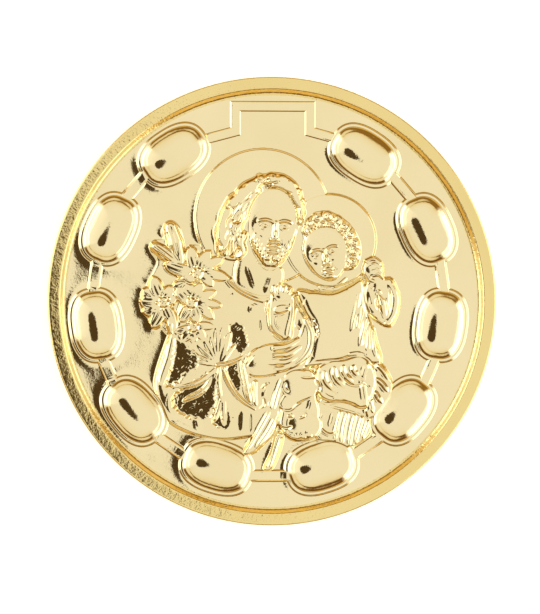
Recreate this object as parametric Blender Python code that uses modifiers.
"""Devotional pocket token: a struck disc with ten finger beads in a ring round a relief.

The disc lies flat on the XY plane with its reverse down. The origin is the centre of the
reverse rim's resting plane, +Z points out of the obverse and +Y is the top of the design.
Lengths below are in millimetres and become metres through MM.
"""

import math

import bmesh
import bpy
import numpy as np

MM = 0.001

# Disc
TOKEN_RADIUS = 16.12
REVERSE_RIM_HEIGHT = 0.30
FIELD_Z = 2.05
RIM_TOP_Z = 2.40
RIM_LAND = 0.70
RIM_BEVEL = 0.38
EDGE_CHAMFER = 0.14
DISC_STEPS = 96
GAP = 0.02

# Ring of beads and the links between them
RING_CENTRE = (-0.24, 0.03)
RING_RADIUS = 12.5
BEAD_ANGLES = (33.3, 65.8, 98.1, 129.2, 162.4)
BEAD_HALF_LENGTH = 2.71
BEAD_HALF_WIDTH = 1.96
BEAD_HEIGHT = 0.65
BEAD_POINTS = 24
LINK_WIDTH = 0.90
LINK_HEIGHT = 0.12
LINK_TUCK = 0.50
CROWN_WIDTH = 0.76
CROWN_HALF_SPAN = 2.69
CROWN_TOP = 14.00
CROWN_FOOT = 12.20
CROWN_END = (4.70, 11.66)
CROWN_MIDDLE = 0.01

# The figures sit this far off the disc's centre, as a slightly off-centre strike leaves them
FIGURE_SHIFT = (-0.10, 0.05)

# Haloes: centre x, centre y, radius, height over the field
ADULT_HALO = (-0.61, 6.00, 4.91, 0.12)
CHILD_HALO = (4.23, 4.33, 3.34, 0.17)
HALO_POINTS = 64

# Heads: centre x, centre y, half width, half height, lean in degrees, height over the field
ADULT_HEAD = (0.05, 5.10, 1.75, 2.95, -4.0, 0.62)
CHILD_HEAD = (3.95, 3.35, 1.55, 1.95, 14.0, 0.60)
HEAD_POINTS = 24

SHOULDER = 0.09
CURVE_STEPS = 3

GOLD = (0.90, 0.74, 0.42, 1.0)
GOLD_ROUGHNESS = 0.12
SATIN_ROUGHNESS = 0.25

PARTS = "devotional_pocket_token"
CUTTERS = "cutters"


# ---------------------------------------------------------------- outlines, as N by 2 arrays

def ellipse(centre, half_x, half_y, count, power=2.0, turn=0.0):
    """A superellipse outline, counter-clockwise, turned by an angle in degrees."""
    angle = np.linspace(0.0, 2.0 * math.pi, count, endpoint=False)
    x = half_x * np.sign(np.cos(angle)) * np.abs(np.cos(angle)) ** (2.0 / power)
    y = half_y * np.sign(np.sin(angle)) * np.abs(np.sin(angle)) ** (2.0 / power)
    spin = math.radians(turn)
    return np.column_stack((
        centre[0] + x * math.cos(spin) - y * math.sin(spin),
        centre[1] + x * math.sin(spin) + y * math.cos(spin),
    ))


def egg(head, grow=0.0):
    """A head's outline: an oval that narrows towards the chin."""
    centre_x, centre_y, half_width, half_height, lean, _ = head
    angle = np.linspace(0.0, 2.0 * math.pi, HEAD_POINTS, endpoint=False)
    y = (half_height + grow) * np.sin(angle)
    taper = 1.0 + 0.16 * np.sin(angle)
    x = (half_width * taper + grow) * np.cos(angle)
    spin = math.radians(lean)
    return np.column_stack((
        centre_x + x * math.cos(spin) - y * math.sin(spin),
        centre_y + x * math.sin(spin) + y * math.cos(spin),
    ))


def smooth_loop(points):
    """A closed Catmull-Rom curve through a few points, counter-clockwise."""
    knots = np.array(points, float)
    before, after = np.roll(knots, 1, axis=0), np.roll(knots, -1, axis=0)
    beyond = np.roll(knots, -2, axis=0)
    rows = []
    for step in range(CURVE_STEPS):
        t = step / CURVE_STEPS
        rows.append(0.5 * (
            2.0 * knots
            + (after - before) * t
            + (2.0 * before - 5.0 * knots + 4.0 * after - beyond) * t ** 2
            + (3.0 * knots - before - 3.0 * after + beyond) * t ** 3
        ))
    loop = np.stack(rows, axis=1).reshape(-1, 2)
    return loop if signed_area(loop) > 0.0 else loop[::-1]


def signed_area(loop):
    x, y = loop[:, 0], loop[:, 1]
    return 0.5 * float(np.sum(x * np.roll(y, -1) - np.roll(x, -1) * y))


def grown(loop, distance):
    """The loop moved outward by a distance, or inward by a negative one."""
    ahead = np.roll(loop, -1, axis=0) - loop
    ahead /= np.linalg.norm(ahead, axis=1, keepdims=True)
    behind = np.roll(ahead, 1, axis=0)
    outward = np.column_stack((ahead[:, 1] + behind[:, 1], -ahead[:, 0] - behind[:, 0]))
    outward /= np.linalg.norm(outward, axis=1, keepdims=True)
    return loop + outward * distance


def ribbon(path, width):
    """The outline of a strip of constant width along a bent path, with mitred corners."""
    path = np.array(path, float)
    run = path[1:] - path[:-1]
    run /= np.linalg.norm(run, axis=1, keepdims=True)
    side = np.column_stack((-run[:, 1], run[:, 0]))
    first, last = side[:1], side[-1:]
    corner = side[:-1] + side[1:]
    corner /= 0.5 * np.sum(corner * corner, axis=1, keepdims=True)
    offset = np.vstack((first, corner, last)) * width / 2.0
    loop = np.vstack((path + offset, (path - offset)[::-1]))
    return loop if signed_area(loop) > 0.0 else loop[::-1]


# ---------------------------------------------------------------- scene helpers

def clear_scene():
    for item in list(bpy.data.objects):
        bpy.data.objects.remove(item, do_unlink=True)


def new_collection(name):
    collection = bpy.data.collections.new(name)
    bpy.context.scene.collection.children.link(collection)
    return collection


def gold(name, roughness):
    """Polished gold plate over brass."""
    material = bpy.data.materials.new(name)
    material.use_nodes = True
    shader = material.node_tree.nodes["Principled BSDF"]
    shader.inputs["Base Color"].default_value = GOLD
    shader.inputs["Metallic"].default_value = 1.0
    shader.inputs["Roughness"].default_value = roughness
    return material


def add_part(name, mesh, roughness=GOLD_ROUGHNESS):
    """A named sub-part with a material of its own."""
    part = bpy.data.objects.new(name, mesh)
    mesh.materials.append(gold(name, roughness))
    bpy.data.collections[PARTS].objects.link(part)
    return part


def add_cutter(name, loop):
    """A tall prism over an outline, kept out of the finished object."""
    mesh = slab_mesh(name, loop, -1.0, 2.0, 0.0)
    cutter = bpy.data.objects.new(name, mesh)
    bpy.data.collections[CUTTERS].objects.link(cutter)
    cutter.hide_render = True
    cutter.display_type = "WIRE"
    return cutter


# ---------------------------------------------------------------- solids

def evaluated_mesh(item):
    """A plain mesh of an object as its modifiers or its curve settings leave it."""
    bpy.context.view_layer.update()
    graph = bpy.context.evaluated_depsgraph_get()
    return bpy.data.meshes.new_from_object(item.evaluated_get(graph))


def slab_mesh(name, loop, bottom, top, shoulder):
    """A flat outline raised from bottom to top over the field, with a chamfered upper edge."""
    curve = bpy.data.curves.new(name + "_outline", "CURVE")
    curve.dimensions = "2D"
    curve.fill_mode = "BOTH"
    curve.bevel_depth = shoulder * MM
    curve.bevel_resolution = 0
    spline = curve.splines.new("POLY")
    spline.points.add(len(loop) - 1)
    for point, (x, y) in zip(spline.points, grown(loop, -shoulder)):
        point.co = (x * MM, y * MM, 0.0, 1.0)
    spline.use_cyclic_u = True
    below = bottom - (shoulder if shoulder else 0.0)
    curve.extrude = (top - below - 2.0 * shoulder) / 2.0 * MM
    drawn = bpy.data.objects.new(name + "_outline", curve)
    bpy.data.collections[CUTTERS].objects.link(drawn)
    mesh = evaluated_mesh(drawn)
    bpy.data.objects.remove(drawn, do_unlink=True)
    mesh.name = name
    work = bmesh.new()
    work.from_mesh(mesh)
    bmesh.ops.remove_doubles(work, verts=work.verts, dist=1e-7)
    bmesh.ops.translate(work, verts=work.verts, vec=(0.0, 0.0, (FIELD_Z + (top + below) / 2.0) * MM))
    if shoulder:
        flatten_base(work, FIELD_Z + bottom)
    bmesh.ops.recalc_face_normals(work, faces=work.faces)
    work.to_mesh(mesh)
    work.free()
    return mesh


def flatten_base(work, height):
    """Cuts away everything below a height and closes the cut with one flat face."""
    geometry = work.verts[:] + work.edges[:] + work.faces[:]
    bmesh.ops.bisect_plane(
        work, geom=geometry, dist=1e-8, plane_co=(0.0, 0.0, height * MM),
        plane_no=(0.0, 0.0, 1.0), clear_inner=True,
    )
    rim = [edge for edge in work.edges if edge.is_boundary]
    bmesh.ops.holes_fill(work, edges=rim, sides=0)


def loft_mesh(name, sections):
    """A solid through stacked outlines with equal point counts, each given with its height."""
    work = bmesh.new()
    rings = []
    for loop, height in sections:
        rings.append([work.verts.new((x * MM, y * MM, (FIELD_Z + height) * MM)) for x, y in loop])
    for lower, upper in zip(rings, rings[1:]):
        for index in range(len(lower)):
            after = (index + 1) % len(lower)
            work.faces.new((lower[index], lower[after], upper[after], upper[index]))
    work.faces.new(list(reversed(rings[0])))
    work.faces.new(rings[-1])
    mesh = bpy.data.meshes.new(name)
    work.to_mesh(mesh)
    work.free()
    return mesh


def turned_part(name, profile, roughness=GOLD_ROUGHNESS):
    """A ring or disc turned about Z from (radius, height) points, running down its outer side."""
    mesh = bpy.data.meshes.new(name)
    closed = profile[0][0] > 0.0
    edges = [(index, index + 1) for index in range(len(profile) - 1)]
    if closed:
        edges.append((len(profile) - 1, 0))
    mesh.from_pydata([(radius * MM, 0.0, height * MM) for radius, height in profile], edges, [])
    part = add_part(name, mesh, roughness)
    screw = part.modifiers.new("turn", "SCREW")
    screw.steps = DISC_STEPS
    screw.render_steps = DISC_STEPS
    screw.use_merge_vertices = True
    screw.merge_threshold = 0.00001
    screw.use_smooth_shade = False
    return part


def largest_body(mesh):
    """Keeps the largest connected body and drops the chips that a cut leaves."""
    work = bmesh.new()
    work.from_mesh(mesh)
    unseen = set(work.faces)
    bodies = []
    while unseen:
        waiting = [unseen.pop()]
        body = []
        while waiting:
            face = waiting.pop()
            body.append(face)
            neighbours = {other for edge in face.edges for other in edge.link_faces} & unseen
            unseen -= neighbours
            waiting.extend(neighbours)
        bodies.append(body)
    bodies.sort(key=lambda body: sum(face.calc_area() for face in body))
    chips = [face for body in bodies[:-1] for face in body]
    bmesh.ops.delete(work, geom=chips, context="FACES")
    work.to_mesh(mesh)
    work.free()


def cut_part(part, cutters):
    """Takes the cutters' prisms out of a part and keeps what is left in one body."""
    for cutter in cutters:
        cut = part.modifiers.new(cutter.name, "BOOLEAN")
        cut.operation = "DIFFERENCE"
        cut.solver = "EXACT"
        cut.object = cutter
    mesh = evaluated_mesh(part)
    largest_body(mesh)
    part.modifiers.clear()
    whole = part.data
    mesh.name = part.name
    part.data = mesh
    bpy.data.meshes.remove(whole)


def overlaps(part, cutter):
    """Whether two objects' boxes meet in plan, so that a cut is worth making."""
    spans = []
    for item in (part, cutter):
        points = np.array([vertex.co[:2] for vertex in item.data.vertices])
        spans.append((points.min(axis=0), points.max(axis=0)))
    (low_a, high_a), (low_b, high_b) = spans
    return bool(np.all(low_a < high_b) and np.all(low_b < high_a))


# ---------------------------------------------------------------- the disc

def make_disc():
    inner_land = TOKEN_RADIUS - EDGE_CHAMFER - RIM_LAND
    foot = inner_land - RIM_BEVEL
    outer = TOKEN_RADIUS
    reverse_field = REVERSE_RIM_HEIGHT + GAP
    turned_part("blank", [
        (0.0, FIELD_Z), (outer, FIELD_Z), (outer, reverse_field), (0.0, reverse_field),
    ])
    turned_part("obverse_rim", [
        (foot, FIELD_Z + GAP), (inner_land, RIM_TOP_Z), (outer - EDGE_CHAMFER, RIM_TOP_Z),
        (outer, RIM_TOP_Z - EDGE_CHAMFER), (outer, FIELD_Z + GAP),
    ], SATIN_ROUGHNESS)
    turned_part("reverse_rim", [
        (foot, REVERSE_RIM_HEIGHT), (outer, REVERSE_RIM_HEIGHT), (outer, EDGE_CHAMFER),
        (outer - EDGE_CHAMFER, 0.0), (inner_land, 0.0),
    ], SATIN_ROUGHNESS)


# ---------------------------------------------------------------- the ring of beads

def bead_places():
    """Centre and long-axis direction of each bead, counter-clockwise from the top left."""
    turns = list(BEAD_ANGLES) + [360.0 - angle for angle in reversed(BEAD_ANGLES)]
    places = []
    for turn in turns:
        angle = math.radians(90.0 + turn)
        centre = (
            RING_CENTRE[0] + RING_RADIUS * math.cos(angle),
            RING_CENTRE[1] + RING_RADIUS * math.sin(angle),
        )
        places.append((centre, turn))
    return places


def bead_section(centre, turn, inset, power):
    return ellipse(
        centre, BEAD_HALF_LENGTH - inset, BEAD_HALF_WIDTH - inset, BEAD_POINTS, power, turn,
    )


def make_beads():
    """Ten oval domes, each with a low collar, a steep shoulder and a broad crown."""
    profile = (
        (0.00, GAP, 2.5), (0.05, 0.11, 2.5), (0.22, 0.15, 2.5), (0.38, 0.38, 2.4),
        (0.62, 0.55, 2.3), (1.20, BEAD_HEIGHT, 2.2),
    )
    cutters = []
    for number, (centre, turn) in enumerate(bead_places(), start=1):
        sections = [(bead_section(centre, turn, inset, power), z) for inset, z, power in profile]
        add_part(f"bead_{number:02d}", loft_mesh(f"bead_{number:02d}", sections))
        clearance = bead_section(centre, turn, -GAP, profile[0][2])
        cutters.append(add_cutter(f"bead_{number:02d}_clearance", clearance))
    return cutters


def along_bead(place, distance):
    """A point on a bead's long axis, measured from its centre."""
    (centre_x, centre_y), turn = place
    angle = math.radians(turn)
    return centre_x + distance * math.cos(angle), centre_y + distance * math.sin(angle)


def make_links(bead_cutters):
    """Flat strips from bead to bead, and the stepped one over the top that closes the ring."""
    places = bead_places()
    cutters = []
    for number in range(1, len(places)):
        before, after = places[number - 1], places[number]
        reach = BEAD_HALF_LENGTH - LINK_TUCK
        loop = ribbon([along_bead(before, -reach), along_bead(after, reach)], LINK_WIDTH)
        name = f"link_{number:02d}"
        link = add_part(name, slab_mesh(name, loop, GAP, LINK_HEIGHT, 0.0))
        cut_part(link, [bead_cutters[number - 1], bead_cutters[number]])
        cutters.append(add_cutter(name + "_clearance", grown(loop, GAP)))
    end_x, end_y = CROWN_END
    right_half = [(CROWN_HALF_SPAN, CROWN_TOP), (CROWN_HALF_SPAN, CROWN_FOOT), (end_x, end_y)]
    path = [(CROWN_MIDDLE - x, y) for x, y in reversed(right_half)]
    path += [(CROWN_MIDDLE + x, y) for x, y in right_half]
    mesh = slab_mesh("crown_link", ribbon(path, CROWN_WIDTH), GAP, LINK_HEIGHT, 0.0)
    crown = add_part("crown_link", mesh)
    cut_part(crown, [bead_cutters[0], bead_cutters[-1]])
    return cutters


# ---------------------------------------------------------------- the figures

# Each outline is a few points that a smooth closed curve runs through, in millimetres from
# the token's centre, with its height over the field. Front features come first: each one is
# cut clear of those before it.
RELIEF = (
    ("lily_blossoms", 0.50, (
        (-6.6, 5.5), (-7.6, 5.4), (-7.8, 4.6), (-8.6, 4.2), (-8.5, 3.2), (-8.9, 2.2), (-9.3, 0.7),
        (-9.2, -0.5), (-8.2, -1.6), (-7.2, -2.2), (-6.2, -2.0), (-4.9, -1.6), (-3.6, -1.5),
        (-2.8, -0.4), (-2.6, 0.8), (-3.1, 2.1), (-3.5, 3.3), (-4.4, 3.9), (-5.6, 3.8), (-6.1, 4.6),
    )),
    ("child_resting_arm", 0.46, (
        (0.1, 0.9), (0.7, 1.1), (1.4, 0.8), (1.6, 0.1), (1.7, -0.8), (1.9, -1.8), (1.6, -2.7),
        (0.8, -2.6), (0.0, -1.9), (-0.2, -0.8), (-0.1, 0.2),
    )),
    ("adult_hand", 0.42, (
        (-1.9, -4.7), (-1.3, -3.5), (-0.2, -3.0), (1.2, -2.9), (1.9, -2.3), (2.3, -1.3),
        (2.7, -1.8), (2.8, -2.9), (2.2, -4.1), (1.3, -4.8), (0.2, -5.3), (-1.2, -5.4),
    )),
    ("child_raised_arm", 0.50, (
        (6.6, 2.4), (7.2, 3.0), (7.9, 2.7), (8.1, 1.7), (8.7, 1.5), (9.1, 0.5), (9.1, -0.9),
        (8.6, -1.8), (7.6, -1.4), (6.9, -0.7), (6.7, 0.4), (6.8, 1.4),
    )),
    ("supporting_hand", 0.42, (
        (3.5, -4.5), (5.2, -4.2), (6.4, -3.9), (7.2, -4.5), (7.6, -5.6), (7.6, -6.8), (6.7, -7.3),
        (5.2, -7.0), (3.9, -6.6), (3.3, -5.6),
    )),
    ("child_legs", 0.48, (
        (0.8, -5.8), (1.5, -5.2), (2.8, -4.9), (3.2, -5.8), (3.4, -6.9), (3.7, -7.9), (3.5, -9.1),
        (2.9, -9.9), (1.8, -10.0), (1.0, -9.4), (0.7, -8.4), (0.9, -7.2),
    )),
    ("sash_folds", 0.30, (
        (0.2, -6.6), (-0.1, -7.4), (-0.8, -8.6), (-1.5, -9.9), (-2.0, -11.0), (-1.2, -10.9),
        (-0.5, -10.2), (0.3, -9.2), (0.7, -8.2), (0.7, -7.0),
    )),
    ("pleat", 0.24, (
        (0.3, -9.9), (0.0, -10.9), (-0.6, -12.1), (0.0, -12.2), (0.5, -11.0), (0.7, -10.0),
    )),
    ("lily_leaves", 0.26, (
        (-6.6, -2.2), (-4.9, -1.9), (-3.4, -1.9), (-2.6, -2.6), (-2.7, -4.4), (-2.2, -6.2),
        (-1.3, -7.6), (-2.5, -7.0), (-3.2, -5.6), (-4.4, -5.6), (-6.0, -6.8), (-7.2, -7.0),
        (-6.4, -5.6), (-4.9, -4.6), (-5.6, -3.6),
    )),
    ("adult_sleeve", 0.24, (
        (-2.3, -2.4), (-1.7, -3.4), (-2.2, -4.7), (-1.4, -5.8), (-0.6, -6.0), (-0.7, -7.3),
        (-1.4, -8.0), (-2.1, -7.2), (-2.5, -5.6), (-2.6, -3.8),
    )),
    ("child_robe", 0.38, (
        (1.9, 0.8), (3.0, 0.7), (4.4, 0.6), (5.6, 1.1), (6.6, 1.5), (6.8, -0.6), (7.4, -2.8),
        (8.0, -4.4), (7.2, -4.3), (6.3, -3.7), (5.2, -3.9), (3.6, -4.3), (2.6, -4.4), (2.9, -3.0),
        (2.9, -1.7), (2.3, -0.6),
    )),
    ("sleeve_folds", 0.28, (
        (7.6, -4.6), (8.4, -5.3), (8.8, -6.5), (8.3, -7.6), (7.0, -8.6), (6.7, -7.7), (7.7, -6.8),
    )),
    ("skirt_folds", 0.26, (
        (3.8, -6.9), (5.2, -7.2), (6.6, -7.5), (7.2, -8.7), (7.0, -9.8), (5.6, -10.6), (4.4, -10.0),
        (3.6, -9.4), (4.0, -8.2),
    )),
    ("adult_neck", 0.24, (
        (-2.4, 3.2), (-2.7, 1.2), (-1.7, 0.4), (-0.6, 0.0), (0.4, 0.4), (0.9, 2.0), (0.0, 3.0),
        (-1.2, 3.4),
    )),
    ("adult_robe", 0.20, (
        (-2.6, 1.6), (-4.2, 2.4), (-6.0, 1.0), (-7.2, -2.0), (-8.1, -5.0), (-8.0, -7.0),
        (-7.3, -8.8), (-5.8, -9.6), (-4.0, -9.9), (-1.6, -9.7), (0.2, -9.0), (1.4, -6.4),
        (2.6, -4.6), (3.0, -2.4), (1.9, -0.4), (0.9, 0.7), (-0.6, 0.3),
    )),
)

ADULT_HAIR = ("adult_hair", 0.40, (
    (0.3, 9.1), (-0.8, 9.0), (-1.8, 8.5), (-2.6, 7.7), (-3.3, 6.7), (-3.8, 5.6), (-4.0, 4.3),
    (-3.9, 3.2), (-3.2, 2.7), (-2.3, 2.8), (-1.7, 2.6), (0.0, 2.6), (1.4, 4.0), (2.2, 5.6),
    (2.4, 6.9), (2.0, 8.0), (1.3, 8.8),
))
CHILD_HAIR = ("child_hair", 0.44, (
    (2.3, 5.0), (2.9, 6.0), (4.0, 6.4), (5.2, 6.1), (6.0, 5.2), (6.5, 4.0), (6.4, 2.8), (5.8, 2.2),
    (4.4, 2.4), (2.8, 3.2),
))


def head_sections(head):
    """Egg-shaped slices that round over towards the face's highest point."""
    crown = head[5]
    shrink = 0.80 * head[2]
    steps = 5
    sections = [(egg(head), GAP)]
    for step in range(steps + 1):
        arc = math.radians(80.0) * step / steps
        rise = 0.45 * crown + 0.55 * crown * math.sin(arc) / math.sin(math.radians(80.0))
        sections.append((egg(head, -shrink * (1.0 - math.cos(arc))), rise))
    return sections


def make_figures(front):
    """The two haloed figures and the lilies, each feature cut clear of the ones before it."""
    shift = np.array(FIGURE_SHIFT)
    shapes = [
        ("child_head", egg(CHILD_HEAD), head_sections(CHILD_HEAD)),
        (CHILD_HAIR[0], smooth_loop(CHILD_HAIR[2]), CHILD_HAIR[1]),
        ("adult_head", egg(ADULT_HEAD), head_sections(ADULT_HEAD)),
        (ADULT_HAIR[0], smooth_loop(ADULT_HAIR[2]), ADULT_HAIR[1]),
    ]
    shapes += [(name, smooth_loop(points), height) for name, height, points in RELIEF]
    for name, halo in (("child_halo", CHILD_HALO), ("adult_halo", ADULT_HALO)):
        loop = ellipse(halo[:2], halo[2], halo[2], HALO_POINTS)
        shapes.append((name, loop, halo[3]))
    for name, loop, rise in shapes:
        loop = loop + shift
        if isinstance(rise, list):
            mesh = loft_mesh(name, [(section + shift, height) for section, height in rise])
        else:
            shoulder = 0.0 if name.endswith("halo") else SHOULDER
            mesh = slab_mesh(name, loop, GAP, rise, shoulder)
        part = add_part(name, mesh)
        cut_part(part, [cutter for cutter in front if overlaps(part, cutter)])
        front.append(add_cutter(name + "_clearance", grown(loop, GAP)))


def main():
    clear_scene()
    new_collection(PARTS)
    new_collection(CUTTERS)
    make_disc()
    bead_cutters = make_beads()
    link_cutters = make_links(bead_cutters)
    make_figures(bead_cutters + link_cutters)


main()
